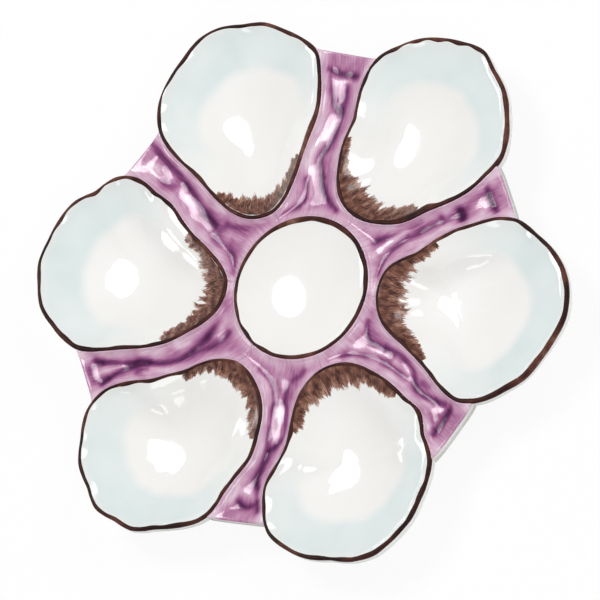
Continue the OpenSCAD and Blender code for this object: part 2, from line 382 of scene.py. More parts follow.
def white_glaze():
    """White glaze with a pale blue-green tint where it lies thick on the wells' shoulders."""
    finish = Finish("white_glaze", roughness=0.08, ior=1.5, coat_weight=0.2, coat_roughness=0.03)
    patches = finish.math("ADD", finish.noise(45, 2), 0.5)
    patchy = finish.math("MULTIPLY", finish.attribute("tint"), patches)
    base = finish.ramp(finish.noise(25, 2), (0.35, "F0EFEC"), (0.65, "F4F3F1"))
    tinted = finish.ramp(finish.noise(60, 2), (0.3, "DAE5E4"), (0.7, "E1EAE9"))
    finish.set("Base Color", finish.blend(patchy, base, tinted))
    finish.bump(finish.noise(160, 2), 0.00003, 0.4)
    return finish.material


def edge_glaze():
    """White glaze on the webs' outer edges and undersides."""
    finish = Finish("web_clay", roughness=0.16, ior=1.5, coat_weight=0.2, coat_roughness=0.06)
    finish.set("Base Color", finish.ramp(finish.noise(70, 4), (0.35, "E6E4E1"), (0.7, "F1EFEC")))
    finish.bump(finish.noise(140, 3), 0.00008, 0.5)
    return finish.material


def lilac_glaze():
    """Lilac glaze, dark where it pools in the relief and pale where it runs thin over the ridges."""
    finish = Finish("lilac_glaze", roughness=0.12, ior=1.5)
    flow = finish.attribute("flow", "Vector")
    clouds = finish.around_zero(finish.noise(110, 3, distortion=0.8), 0.36)
    streaks = finish.around_zero(finish.noise(1.3, 3, distortion=0.4, place=flow), 0.4)
    depth = finish.math("ADD", finish.attribute("pool"), finish.math("ADD", clouds, streaks))
    finish.set("Base Color", finish.ramp(
        depth, (0.05, "E4CEDC"), (0.22, "D3AEC4"), (0.4, "BB86A8"), (0.54, "A3668F"),
        (0.68, "874778"), (0.84, "67325F"), (1.0, "471F45")))
    duller = finish.math("MULTIPLY", depth, 0.62)
    finish.set("Specular IOR Level", finish.math("SUBTRACT", 0.72, duller))
    finish.bump(finish.noise(240, 2), 0.00002, 0.5)
    return finish.material


def brown_enamel():
    """Dark brown painted line, a little worn and uneven."""
    finish = Finish("brown_enamel", roughness=0.45, specular_ior_level=0.12)
    light = finish.math("ADD", finish.noise(60, 2), finish.around_zero(finish.noise(330, 3), 0.35))
    finish.set("Base Color", finish.ramp(
        light, (0.36, "260F0C"), (0.52, "3F1E18"), (0.66, "5E362B"), (0.84, "93705F")))
    finish.bump(finish.noise(500, 3), 0.00002, 0.5)
    return finish.material


def brush_enamel():
    """Brown brush strokes, thick and dark at the rim and thin and light towards their tips."""
    finish = Finish("brush_enamel", roughness=0.14, ior=1.5, coat_weight=0.2, coat_roughness=0.06)
    grain = finish.attribute("grain", "Vector")
    hairs = finish.around_zero(finish.noise(2.6, 3, distortion=0.3, place=grain), 0.75)
    patches = finish.around_zero(finish.noise(330, 3, distortion=0.6), 0.55)
    light = finish.math("ADD", finish.attribute("shade"), finish.math("ADD", hairs, patches))
    finish.set("Base Color", finish.ramp(
        light, (0.05, "2C110D"), (0.25, "502B21"), (0.45, "74493B"), (0.66, "976B5A"),
        (1.0, "C2A292")))
    finish.bump(finish.noise(600, 3), 0.00002, 0.5)
    return finish.material


def foot_clay():
    """Pale fired clay of the foot ring, bare of glaze."""
    finish = Finish("foot_clay", roughness=0.45, ior=1.5)
    finish.set("Base Color", finish.ramp(finish.noise(120, 4), (0.35, "D9D4C9"), (0.7, "E8E4DB")))
    finish.bump(finish.noise(420, 4), 0.0001, 0.8)
    return finish.material


WHITE = white_glaze()
EDGE = edge_glaze()
LILAC = lilac_glaze()
BROWN = brown_enamel()
BRUSH = brush_enamel()
CLAY = foot_clay()


# Rims and the crest that runs round each of them


class Rim:
    """A closed rim: its outline round a middle, and the crest that stands on it."""

    def points(self, deg):
        """Plan points of the rim's middle line at some angles."""
        return self.middle + polar(around(self.radii, deg), self.deg + np.asarray(deg))

    def outward(self, deg):
        """Plan directions that point straight out of the rim."""
        ahead = self.points(np.asarray(deg) + 1) - self.points(np.asarray(deg) - 1)
        ahead /= np.linalg.norm(ahead, axis=-1, keepdims=True)
        return np.stack([ahead[..., 1], -ahead[..., 0]], -1)

    def beside(self, deg, distance):
        """Plan points at a distance outside the rim's middle line."""
        return self.points(deg) + self.outward(deg) * np.asarray(distance)[..., None]

    def crest(self, deg, along, lift):
        """Points on the crest: along is the way over it in millimetres, from its inner side at
        -CREST_HALF through its top at 0 and on down the outer wall, and lift the height above it.
        Before -CREST_HALF the points lie on the well's inside."""
        half = CREST_HALF - WALL_INSET
        roll = EDGE_ROUND * math.pi / 2
        turn = np.clip(along / roll, 0, 1) * math.pi / 2
        inner = np.clip(-along / CREST_HALF, 0, 1)
        across = np.where(along < 0, along, half * np.sin(turn)) + lift * np.sin(turn)
        height = RIM_H - np.where(along < 0, CREST_SOFT * inner ** 2, EDGE_ROUND * (1 - np.cos(turn)))
        height = height - np.maximum(along - roll, 0) + lift * np.cos(turn)
        inside = self.inside(deg, np.maximum(-along - CREST_HALF, 0), lift)
        over = with_height(self.beside(deg, across), height)
        return np.where((along < -CREST_HALF)[:, None], inside, over)

    def roll_rings(self, deg):
        """Rings over the crest and down the outer wall to the underside's edge."""
        rings = [self.crest(deg, np.full(len(deg), along), 0.0)
                 for along in np.linspace(-CREST_HALF, 0, 4)[1:]]
        rings += [self.crest(deg, np.full(len(deg), along), 0.0)
                  for along in EDGE_ROUND * math.pi / 2 * np.linspace(0, 1, ROLL_STEPS + 1)[1:]]
        out = CREST_HALF - WALL_INSET
        for f in np.linspace(0, 1, ROLL_STEPS):
            turn = f * math.pi / 2
            across = np.full(len(deg), out - EDGE_ROUND * (1 - math.cos(turn)))
            height = RIM_H - WALL_T + EDGE_ROUND * (1 - math.sin(turn))
            rings.append(with_height(self.beside(deg, across), height))
        return rings


class OysterWell(Rim):
    """A well whose outline comes from the CAD's rim line, with a steep shoulder and a round floor."""

    def __init__(self, number):
        self.number = number
        self.deg = FIRST_WELL_DEG - (number - 1) * 360 / WELL_COUNT
        self.middle = np.array([RING_X, 0.0]) + polar(RING_R, self.deg)
        line = np.array([v.co for v in frame["nodes"][f"rim_line_{number}"].data.vertices]) / MM
        ridge = line[line[:, 2] > RIM_H + LINE_T / 2][:, :2] - self.middle
        angles = turned(np.degrees(np.arctan2(ridge[:, 1], ridge[:, 0])) - self.deg)
        slots = np.round((angles + 180) / 360 * RIM_POINTS).astype(int) % RIM_POINTS
        self.radii = np.array([np.hypot(*ridge[slots == k].T).mean() for k in range(RIM_POINTS)])
        out, across, self.long_r, self.cross_r = BOWLS[number - 1]
        self.low = self.middle + polar(out, self.deg) + polar(across, self.deg + 90)
        self.wobble = waves_over(WOBBLE_LENGTH)
        self.lip_waves = waves_round(5, 16)

    def tracks(self, deg, outside):
        """The lines that run into the well to its lowest point: where they start and cross the floor's
        edge, and how long they are up to it and beyond it."""
        start = self.beside(deg, np.full(np.shape(deg), outside))
        share = mix(FLOOR_OUTER_SHARE, FLOOR_HINGE_SHARE, hinge_share(deg))
        edge_r = (around(self.radii, deg) - CREST_HALF) * share
        edge = self.middle + polar(edge_r, self.deg + np.asarray(deg))
        shoulder, floor = (np.linalg.norm(way, axis=-1) for way in (edge - start, self.low - edge))
        return start, edge, shoulder, floor

    def along_tracks(self, deg, distance, outside, lip):
        """Plan points and drops at a distance along the tracks."""
        start, edge, shoulder, floor = self.tracks(deg, outside)
        on_shoulder = (distance <= shoulder)[..., None]
        f = (distance / shoulder)[..., None]
        g = ((distance - shoulder) / floor)[..., None]
        plan = np.where(on_shoulder, mix(start, edge, f), mix(edge, self.low, g))
        at_hinge = hinge_share(deg) ** 4
        narrow = np.minimum(shoulder / SHOULDER_W, 1) ** NARROW_POWER
        edge_drop = mix(SHOULDER_DROP * narrow, HINGE_DROPS[self.number - 1], at_hinge)
        ease = HINGE_EASES[self.number - 1] * at_hinge
        lip = mix(lip, 0, at_hinge) * (1 + LIP_WAVE * self.lip_waves(deg))
        spoke = edge - self.low
        long_rise = (spoke @ polar(1.0, self.deg)) ** 2 / (2 * self.long_r)
        cross_rise = (spoke @ polar(1.0, self.deg + 90)) ** 2 / (2 * self.cross_r)
        round_rise = np.minimum(long_rise + cross_rise, ROUND_SHARE * (WELL_DEPTH - edge_drop))
        rest = WELL_DEPTH - edge_drop - round_rise

        def drop(d):
            shoulder_f = np.clip(d / shoulder, 0, 1) ** (1 + ease)
            lip_f = np.maximum(d, 0) / LIP_W
            steep = lip * lip_f / (1 + lip_f ** LIP_POWER) ** (1 / LIP_POWER)
            steep = steep + (edge_drop - lip) * shoulder_f
            out = np.abs(1 - (d - shoulder) / floor)
            bowl = WELL_DEPTH - round_rise * out ** 2 - rest * out ** (4 - at_hinge)
            return np.where(d <= shoulder, steep, bowl)

        spread = np.minimum(BOWL_BLEND, 0.4 * distance)
        blended = sum(weight * drop(distance + k * spread) for k, weight in BLEND_WEIGHTS.items())
        return plan, blended / sum(BLEND_WEIGHTS.values())

    def inside(self, deg, distance, lift=0.0):
        """Points of the inside at a distance in from the crest's inner edge."""
        deg, distance = np.broadcast_arrays(np.asarray(deg, float), np.asarray(distance, float))
        plan, drop = self.along_tracks(deg, distance, -CREST_HALF, LIP_DROP)
        drop = CREST_SOFT + drop * (WELL_DEPTH - CREST_SOFT) / WELL_DEPTH
        drop = drop - WOBBLE * self.wobble(plan) * smoothstep(0, 8, distance)
        return with_height(plan, RIM_H - drop + lift)

    def underneath(self, deg, share):
        """Points of the underside at a share of the way in from its edge."""
        outside = CREST_HALF - WALL_INSET - EDGE_ROUND
        _, _, shoulder, floor = self.tracks(deg, outside)
        plan, drop = self.along_tracks(deg, share * (shoulder + floor), outside, 0.0)
        return with_height(plan, RIM_H - WALL_T - drop)

    def make(self):
        deg = np.arange(SIDES) * 360 / SIDES - 180
        _, _, shoulder, floor = self.tracks(deg, -CREST_HALF)
        steps = [shoulder + floor * f for f in np.linspace(0.97, 1 / FLOOR_RINGS, FLOOR_RINGS)]
        steps += [shoulder * f ** 1.5 for f in np.linspace(1, 0, SHOULDER_RINGS + 1)]
        rings = [self.inside(deg, d) for d in steps]
        tint = []
        for d in steps:
            inner = smoothstep(-2.5, 3, shoulder - d)
            outer = smoothstep(-0.9, 0.7, np.cos(np.radians(deg)))
            tint.append(inner * outer * (0.6 + 0.4 * smoothstep(0, 4, d)))
        roll = self.roll_rings(deg)
        rings += roll
        tint += [np.full(SIDES, 0.25)] * len(roll)
        for share in np.linspace(0, 0.97, FLOOR_RINGS)[1:]:
            rings.append(self.underneath(deg, share))
            tint.append(np.full(SIDES, 0.2))
        points, faces = dish(np.array(rings))
        piece(f"oyster_well_glazed_{self.number}", points, faces, WHITE, "white_glaze",
              f"oyster_well_{self.number}", tint=np.append(np.array(tint).ravel(), [0, 0.2]))


class SauceWell(Rim):
    """The round well in the middle."""

    def __init__(self):
        self.deg = 0.0
        self.middle = SAUCE_MIDDLE
        self.radii = np.full(RIM_POINTS, SAUCE_R)

    def inside(self, deg, distance, lift=0.0):
        """Points of the inside at a distance in from the crest's inner edge."""
        drop = self.drop(SAUCE_R - CREST_HALF - distance, SAUCE_R - CREST_HALF, CREST_SOFT)
        return with_height(self.beside(deg, -CREST_HALF - distance), RIM_H - drop + lift)

    def drop(self, r, edge_r, edge_drop):
        """Depth of the bowl at a radius, from its depth at its edge."""
        round_rise = edge_r ** 2 / (2 * SAUCE_BOWL_R)
        f = np.abs(r / edge_r)
        return SAUCE_DEPTH - round_rise * f ** 2 - (SAUCE_DEPTH - edge_drop - round_rise) * f ** 4

    def make(self):
        deg = np.arange(SIDES) * 360 / SIDES - 180
        inner = SAUCE_R - CREST_HALF
        rings = []
        for share in np.linspace(0.97 ** 0.6, 0, SHOULDER_RINGS + FLOOR_RINGS) ** (1 / 0.6):
            rings.append(self.inside(deg, np.full(SIDES, inner * share)))
        roll = self.roll_rings(deg)
        rings += roll
        edge = SAUCE_R + CREST_HALF - WALL_INSET - EDGE_ROUND
        for r in edge * np.linspace(1, 0.03, FLOOR_RINGS)[1:]:
            height = RIM_H - WALL_T - self.drop(r, edge, 0.0)
            rings.append(with_height(self.middle + polar(r, deg), height))
        points, faces = dish(np.array(rings))
        piece("sauce_well_glazed", points, faces, WHITE, "white_glaze", "sauce_well",
              tint=np.zeros(len(points)))


wells = [OysterWell(k + 1) for k in range(WELL_COUNT)]
sauce = SauceWell()
for well in wells:
    well.make()
sauce.make()


# Rim lines in brown enamel


# Thickness of the paint in a line's middle and at its sides, how far it is sunk into the glaze, and
# the least that it reaches to either side of the crest's top
PAINT_T = 0.3 * LINE_T
PAINT_SIDE_T = 0.03
PAINT_SUNK = 0.2
LEAST_REACH = 0.4
# Where a rim line runs broad, outside the rim and inside it: the well's own angle, the spread of the
# broad place and its extra width
BROAD_OUTSIDE = {
    1: [(-50, 30, 0.5)],
    2: [(-60, 20, 0.4)],
    3: [(-35, 22, 1.6), (15, 20, 0.6)],
    4: [(60, 20, 0.4)],
}
BROAD_INSIDE = {
    1: [(-128, 14, 1.5)],
    2: [(-141, 15, 2.1)],
    3: [(-60, 25, 0.4)],
    6: [(60, 30, 0.4)],
}


def rim_line(rim, name, node, reach_in, reach_out):
    """A painted band over the crest, from reach_in inside its top to reach_out over and down its
    outside."""
    deg = np.arange(2 * SIDES) * 180 / SIDES - 180
    low, high = -reach_in(deg), reach_out(deg)
    section = []
    for f in np.linspace(0, 1, LINE_COLUMNS):
        thick = PAINT_T * (1 - (2 * f - 1) ** 2) + PAINT_SIDE_T
        section.append(rim.crest(deg, mix(low, high, f), thick))
    for f in (1, 0.5, 0):
        section.append(rim.crest(deg, mix(low, high, f), -PAINT_SUNK))
    grid = np.array(section)
    faces = grid_faces(*grid.shape[:2], round_rows=True, round_columns=True)
    piece(name, grid, faces, BROWN, "brown_enamel", node)


def brushed(usual, uneven, waves, broad):
    """How far a hand-painted line reaches at an angle: a usual width, uneven by waves, and broad in
    some places."""

    def reach(deg):
        wide = usual + uneven * waves(deg)
        for middle, width, extra in broad:
            wide = wide + extra * hump(turned(deg - middle), 0, width)
        return np.maximum(wide, LEAST_REACH)

    return reach


for well in wells:
    inner = brushed(0.9, 0.22, waves_round(3, 26), BROAD_INSIDE.get(well.number, []))
    outer = brushed(1.9, 0.25, waves_round(3, 22), BROAD_OUTSIDE.get(well.number, []))
    rim_line(well, f"rim_line_painted_{well.number}", f"rim_line_{well.number}", inner, outer)

sauce_waves = waves_round(3, 20)
rim_line(sauce, "sauce_rim_line_painted", "sauce_rim_line",
         lambda deg: 0.85 + 0.7 * hump(turned(deg), 70, 70) + 0.2 * sauce_waves(deg),
         lambda deg: 1.7 + 0.2 * sauce_waves(deg + 40))


# Brush marks at the hinge ends

# How far each well's marks reach in from the rim line, at angles counted from its hinge end
BRUSH_REACH = [
    [(-37, 1.5), (-25, 5.5), (-14, 9.5), (4, 9.5), (12, 6.5), (26, 5.5), (31, 1.5)],
    [(-48, 1), (-26, 3), (-20, 6.5), (-8, 9), (3, 9), (10, 6.8), (20, 7.5), (32, 7.5), (38, 3)],
    [(-45, 1.5), (-25, 3.5), (-20, 6.5), (-8, 9), (6, 10.5), (13, 7.5), (25, 5.5), (40, 3.5), (52, 1)],
    [(-53, 1.5), (-44, 4.5), (-28, 4.5), (-18, 7.5), (-2, 8.2), (10, 7.5), (16, 4.8), (30, 4),
     (37, 1.5)],
    [(-48, 1.5), (-43, 5), (-33, 6.5), (-20, 6), (-10, 7.5), (0, 7.2), (10, 5), (16, 3), (30, 2.8),
     (33, 1)],
    [(-46, 2), (-42, 5), (-28, 5.5), (-20, 9), (-10, 11), (4, 11), (12, 7.5), (15, 4.5), (30, 3.8),
     (33, 1.5)],
]
STROKES = 620
STROKE_STEPS = 7
BAND_STEPS = 420
# Shares of that reach at which strokes start and end, and at which the band under them ends
STROKE_STARTS = (0.3, 0.85)
STROKE_ENDS = (0.85, 1.06)
BAND_ENDS = (0.78, 0.96)
# Lengths, half widths and heights of strokes
STROKE_LENGTHS = (0.8, 4.5)
STROKE_HALVES = (0.1, 0.34)
STROKE_LIFTS = (0.07, 0.13)
STROKE_SUNK = 0.05
# Height of the band, how far it is sunk into the glaze, and how far it starts under the rim line
BAND_LIFT = 0.05
BAND_SUNK = 0.1
BAND_UNDER_LINE = 0.3
# Usual shade of the marks, as a place on the brush enamel's ramp, and how much it varies from patch
# to patch
MARK_SHADE = 0.36
PATCH_SHADE = 0.13
# How much less the grain changes along a stroke than across it
GRAIN_STRETCH = 0.16


def brush_marks(well):
    """Flat strokes of enamel that overlap in a ragged band, and the solid band under them."""
    angles, reaches = np.array(BRUSH_REACH[well.number - 1], float).T
    depth_waves = waves_round(25, 95)
    tone, leaning = waves_over(3.5), waves_over(7)

    def depth(deg):
        return np.interp(deg - 180, angles, reaches) * (1 + 0.16 * depth_waves(deg))

    start_deg = rng.uniform(180 + angles[0], 180 + angles[-1], STROKES)
    reach = depth(start_deg)
    start = reach * rng.uniform(*STROKE_STARTS, STROKES)
    length = np.clip(reach * rng.uniform(*STROKE_ENDS, STROKES) - start, *STROKE_LENGTHS)
    lean = 1.6 * leaning(well.inside(start_deg, start)[:, :2]) + rng.normal(0, 0.6, STROKES)
    bend = rng.normal(0, 0.6, STROKES)
    width = rng.uniform(*STROKE_HALVES, STROKES)
    lift = rng.uniform(*STROKE_LIFTS, STROKES)
    steps = np.linspace(0, 1, STROKE_STEPS)
    section = []
    for f in steps:
        deg = start_deg + (lean * f + bend * f * f) * length / 4
        distance = start + length * f
        half = width * (1 - 0.85 * f ** 2) * math.sqrt(min(1, 0.3 + 3 * f))
        spread = np.degrees(half / around(well.radii, deg))
        top = lift * (1 - 0.4 * f)
        corners = [(-spread, -STROKE_SUNK), (-spread, top), (spread, top), (spread, -STROKE_SUNK)]
        section.append(np.stack([well.inside(deg + side, distance, up) for side, up in corners]))
    grid = np.array(section).transpose(2, 0, 1, 3)
    tube = grid_faces(STROKE_STEPS, 4, round_columns=True)[:, ::-1]
    last, size = 4 * (STROKE_STEPS - 1), 4 * STROKE_STEPS
    faces = []
    for k in range(STROKES):
        faces += (tube + k * size).tolist()
        faces += [[k * size + 3 - j for j in range(4)], [k * size + last + j for j in range(4)]]
    fade = np.clip((start[:, None] + length[:, None] * steps) / reach[:, None], 0, 1)
    patch = PATCH_SHADE * tone(well.inside(start_deg, start + length / 2)[:, :2])
    shade = np.clip(rng.normal(MARK_SHADE, 0.12, STROKES) + patch, 0, 1)[:, None] + 0.4 * fade ** 3
    shade = np.repeat(shade[:, :, None], 4, 2)

    band_deg = np.linspace(180 + angles[0], 180 + angles[-1], BAND_STEPS)
    ragged = depth(band_deg) * rng.uniform(*BAND_ENDS, len(band_deg))
    shares = np.linspace(1, 0, BAND_ROWS)
    rows = [(ragged + BAND_UNDER_LINE) * f - BAND_UNDER_LINE for f in shares]
    top, bottom = (np.array([well.crest(band_deg, -CREST_HALF - row, lift) for row in rows])
                   for lift in (BAND_LIFT, -BAND_SUNK))
    band_points, band_faces = slab(top, bottom)
    points = np.concatenate([grid.reshape(-1, 3), band_points])
    faces += (np.asarray(band_faces) + STROKES * size).tolist()
    band_shade = [MARK_SHADE + PATCH_SHADE * tone(row[:, :2]) + 0.3 * f ** 4
                  for row, f in zip(top, shares)]
    shades = np.concatenate([shade.ravel(), np.ravel(band_shade), np.ravel(band_shade)])
    away = points[:, :2] - well.middle
    round_mm = np.arctan2(away[:, 1], away[:, 0]) * well.radii.mean()
    along_mm = np.hypot(*away.T) * GRAIN_STRETCH
    grain = np.stack([round_mm, along_mm, np.full(len(points), 30.0 * well.number)], -1)
    piece(f"brush_strokes_{well.number}", points, faces, BRUSH, "brush_enamel",
          f"brush_marks_{well.number}", sharp_deg=40, shade=shades, grain=grain)


for well in wells:
    brush_marks(well)


# Webs, with their moulded relief

# How far the moulded forms and their colour spread, as shares of a line's width, and how high the
# forms stand, because the glaze fills most of each groove
RELIEF_SPREAD = 2.1
PAINT_SPREAD = 1.2
RIDGE_SHARE = 0.3
GROOVE_SHARE = 0.3
# Power that joins overlapping forms without a crease
JOIN_POWER = 4
# Edges of the webs: share of their length that lies on the sauce well's rim, how far they run under
# the painted lines, and the radius of their outer ends
SAUCE_EDGE_SHARE = 1 / 14
UNDER_LINE = 0.1
END_ROUND = 0.6 * EDGE_ROUND
# How much less the glaze's streaks change along a web than across it
FLOW_STRETCH = 0.12
# Relief of each web: height (a groove where below 0), width, and its line in shares across and along
# the web, across from the well it is numbered after and along from the sauce well
RELIEF = [
    [
        (-1.0, 1.3, [(0.15, 0.885), (0.45, 0.87), (0.75, 0.875)]),
        (-0.5, 1.3, [(0.68, 0.87), (0.75, 0.865)]),
        (-0.7, 1.1, [(0.17, 0.88), (0.20, 0.78), (0.32, 0.68), (0.50, 0.63)]),
        (-0.6, 1.3, [(0.62, 0.80), (0.60, 0.72), (0.56, 0.62)]),
        (-1.1, 1.5, [(0.53, 0.65), (0.56, 0.60)]),
        (-0.8, 1.1, [(0.56, 0.62), (0.62, 0.50), (0.58, 0.42), (0.44, 0.33), (0.52, 0.25),
                     (0.64, 0.14), (0.74, 0.07)]),
        (-0.9, 1.2, [(0.53, 0.25), (0.57, 0.235)]),
        (-0.7, 1.0, [(0.22, 0.22), (0.30, 0.14), (0.26, 0.09), (0.08, 0.06)]),
        (0.8, 1.3, [(0.48, 0.58), (0.45, 0.50), (0.32, 0.42), (0.15, 0.36)]),
        (0.8, 1.3, [(0.32, 0.42), (0.18, 0.33), (0.30, 0.25), (0.36, 0.14), (0.35, 0.08)]),
        (0.6, 1.6, [(0.35, 0.82), (0.55, 0.84), (0.70, 0.82)]),
    ],
    [
        (-1.0, 1.3, [(0.15, 0.88), (0.45, 0.87), (0.80, 0.885)]),
        (-0.5, 1.3, [(0.18, 0.88), (0.22, 0.87)]),
        (-0.5, 1.3, [(0.63, 0.865), (0.70, 0.87)]),
        (-1.4, 1.8, [(0.35, 0.66), (0.68, 0.655)]),
        (-0.9, 1.4, [(0.28, 0.53), (0.42, 0.525)]),
        (-0.6, 1.3, [(0.45, 0.60), (0.42, 0.50), (0.42, 0.38), (0.50, 0.28)]),
        (-0.8, 1.1, [(0.12, 0.42), (0.18, 0.32), (0.32, 0.22), (0.36, 0.10)]),
        (-0.8, 1.1, [(0.42, 0.30), (0.56, 0.24), (0.66, 0.14), (0.76, 0.07)]),
        (-0.5, 1.4, [(0.25, 0.84), (0.22, 0.75), (0.35, 0.70)]),
        (0.8, 1.4, [(0.28, 0.31), (0.45, 0.20), (0.52, 0.05)]),
        (0.6, 1.6, [(0.40, 0.80), (0.55, 0.83), (0.68, 0.80)]),
        (0.7, 1.6, [(0.80, 0.56), (0.66, 0.46), (0.62, 0.34), (0.75, 0.24)]),
    ],
    [
        (-1.0, 1.2, [(0.10, 0.88), (0.45, 0.885), (0.85, 0.88)]),
        (-0.7, 1.4, [(0.68, 0.87), (0.76, 0.862)]),
        (-0.9, 1.3, [(0.18, 0.84), (0.36, 0.76), (0.58, 0.68), (0.62, 0.60), (0.52, 0.54),
                     (0.30, 0.48), (0.22, 0.38), (0.34, 0.26)]),
        (-0.5, 1.6, [(0.70, 0.82), (0.90, 0.72), (0.82, 0.62), (0.62, 0.58)]),
        (-0.5, 1.3, [(0.30, 0.66), (0.36, 0.60)]),
        (-0.7, 1.2, [(0.62, 0.47), (0.62, 0.34), (0.60, 0.26), (0.70, 0.18), (0.74, 0.07)]),
        (-0.8, 1.0, [(0.34, 0.28), (0.40, 0.16), (0.28, 0.06)]),
        (0.7, 1.4, [(0.36, 0.82), (0.56, 0.76), (0.74, 0.68)]),
        (0.8, 1.5, [(0.44, 0.46), (0.46, 0.36)]),
        (0.8, 1.4, [(0.46, 0.28), (0.56, 0.20), (0.58, 0.08)]),
        (0.6, 1.5, [(0.88, 0.56), (0.84, 0.40)]),
    ],
    [
        (-1.2, 1.4, [(0.12, 0.92), (0.16, 0.87)]),
        (-0.8, 1.1, [(0.15, 0.875), (0.42, 0.90), (0.62, 0.87)]),
        (-0.6, 1.3, [(0.62, 0.87), (0.68, 0.86)]),
        (-0.7, 1.2, [(0.18, 0.86), (0.24, 0.79)]),
        (-1.0, 1.4, [(0.26, 0.78), (0.46, 0.71), (0.60, 0.61), (0.64, 0.52)]),
        (-0.9, 1.2, [(0.64, 0.52), (0.40, 0.48), (0.20, 0.42), (0.26, 0.30), (0.38, 0.24)]),
        (-0.9, 1.2, [(0.64, 0.52), (0.72, 0.44), (0.72, 0.34), (0.60, 0.26)]),
        (-0.6, 1.1, [(0.36, 0.24), (0.34, 0.12), (0.20, 0.05)]),
        (-0.6, 1.1, [(0.60, 0.26), (0.60, 0.14), (0.74, 0.06)]),
        (0.9, 1.6, [(0.58, 0.46), (0.52, 0.34), (0.46, 0.28)]),
        (0.7, 1.6, [(0.30, 0.83), (0.45, 0.82), (0.60, 0.80)]),
        (0.7, 1.3, [(0.78, 0.86), (0.80, 0.78), (0.92, 0.77)]),
        (0.6, 1.4, [(0.70, 0.20), (0.76, 0.12)]),
    ],
    [
        (-1.1, 1.5, [(0.22, 0.91), (0.28, 0.87)]),
        (-1.1, 1.5, [(0.82, 0.89), (0.74, 0.86)]),
        (-0.6, 1.3, [(0.36, 0.95), (0.60, 0.95)]),
        (-1.0, 1.2, [(0.28, 0.87), (0.42, 0.77), (0.54, 0.66), (0.60, 0.56)]),
        (-1.0, 1.2, [(0.74, 0.86), (0.66, 0.77), (0.62, 0.68), (0.68, 0.61), (0.61, 0.55)]),
        (-0.9, 1.1, [(0.60, 0.56), (0.50, 0.48), (0.44, 0.38), (0.48, 0.30)]),
        (-0.7, 1.2, [(0.48, 0.30), (0.36, 0.20), (0.42, 0.07)]),
        (-0.9, 1.5, [(0.48, 0.30), (0.68, 0.20), (0.96, 0.12)]),
        (-0.5, 1.2, [(0.15, 0.66), (0.34, 0.68), (0.40, 0.60)]),
        (0.9, 1.6, [(0.50, 0.92), (0.52, 0.84), (0.55, 0.76)]),
        (0.7, 1.3, [(0.34, 0.62), (0.34, 0.54), (0.18, 0.48)]),
        (0.7, 1.5, [(0.84, 0.38), (0.74, 0.32)]),
        (0.6, 1.5, [(0.55, 0.18), (0.60, 0.08)]),
    ],
    [
        (-0.9, 1.4, [(0.76, 0.99), (0.76, 0.82), (0.74, 0.70), (0.66, 0.61), (0.62, 0.48),
                     (0.58, 0.36), (0.50, 0.28)]),
        (-0.5, 1.5, [(0.32, 0.80), (0.36, 0.70), (0.52, 0.64)]),
        (-1.0, 1.4, [(0.68, 0.62), (0.62, 0.58)]),
        (-0.5, 1.3, [(0.25, 0.24), (0.45, 0.245), (0.62, 0.24)]),
        (-0.6, 1.3, [(0.28, 0.22), (0.26, 0.12), (0.12, 0.06)]),
        (-0.6, 1.3, [(0.66, 0.24), (0.76, 0.14), (0.86, 0.07)]),
        (0.9, 1.8, [(0.30, 0.95), (0.42, 0.88), (0.40, 0.82)]),
        (0.9, 1.5, [(0.44, 0.64), (0.46, 0.54), (0.42, 0.43)]),
        (0.5, 1.8, [(0.50, 0.18), (0.50, 0.08)]),
    ],
]


def web_side(well, corner, along):
    """Plan points of a web's side: on the sauce well's rim at first, then out along the well's rim."""
    inset = WALL_INSET + UNDER_LINE
    hinge = well.beside(np.array(180.0), np.array(CREST_HALF))
    outward = (hinge - SAUCE_MIDDLE) / np.linalg.norm(hinge - SAUCE_MIDDLE)
    start = SAUCE_MIDDLE + outward * (SAUCE_R + CREST_HALF - inset)
    f = np.clip((along - SAUCE_EDGE_SHARE) / (1 - SAUCE_EDGE_SHARE), 0, 1)
    deg = mix(math.copysign(180, corner), corner, f)
    side = well.beside(deg, np.full(len(along), CREST_HALF - inset))
    return mix(start, side, np.clip(along / SAUCE_EDGE_SHARE, 0, 1)[:, None])


def web_plan(before, after, across, along):
    """Grid of plan points over the web between two wells."""
    a = web_side(before, AFTER_CORNER_DEG[before.number - 1], along)
    b = web_side(after, BEFORE_CORNER_DEG[after.number - 1], along)
    from_deg, to_deg = (np.degrees(np.arctan2(*(side[0] - SAUCE_MIDDLE)[::-1])) for side in (a, b))
    radius = np.linalg.norm(a[0] - SAUCE_MIDDLE)
    arc = SAUCE_MIDDLE + polar(radius, from_deg + turned(to_deg - from_deg) * across)
    bulge = arc - mix(a[0], b[0], across[:, None])
    grid = mix(a[:, None], b[:, None], across[None, :, None])
    return grid + bulge[None] * (1 - along)[:, None, None]


def beyond_rims(plan):
    """Distance of plan points outside the nearest rim, rounded off midway between two rims."""
    distances = [np.linalg.norm(plan - SAUCE_MIDDLE, axis=-1) - SAUCE_R - CREST_HALF]
    for well in wells:
        away = plan - well.middle
        deg = turned(np.degrees(np.arctan2(away[..., 1], away[..., 0])) - well.deg)
        distances.append(np.linalg.norm(away, axis=-1) - around(well.radii, deg) - CREST_HALF)
    return (np.maximum(distances, 0.01) ** -float(JOIN_POWER)).sum(0) ** (-1 / JOIN_POWER)


def smooth_line(points, steps=14):
    """Points of a smooth line through a few points."""
    p = np.array([points[0], *points, points[-1]], float)
    f = np.linspace(0, 1, steps)[:, None]
    parts = [through(a, b, c, d, f) for a, b, c, d in zip(p, p[1:], p[2:], p[3:])]
    return np.concatenate(parts)


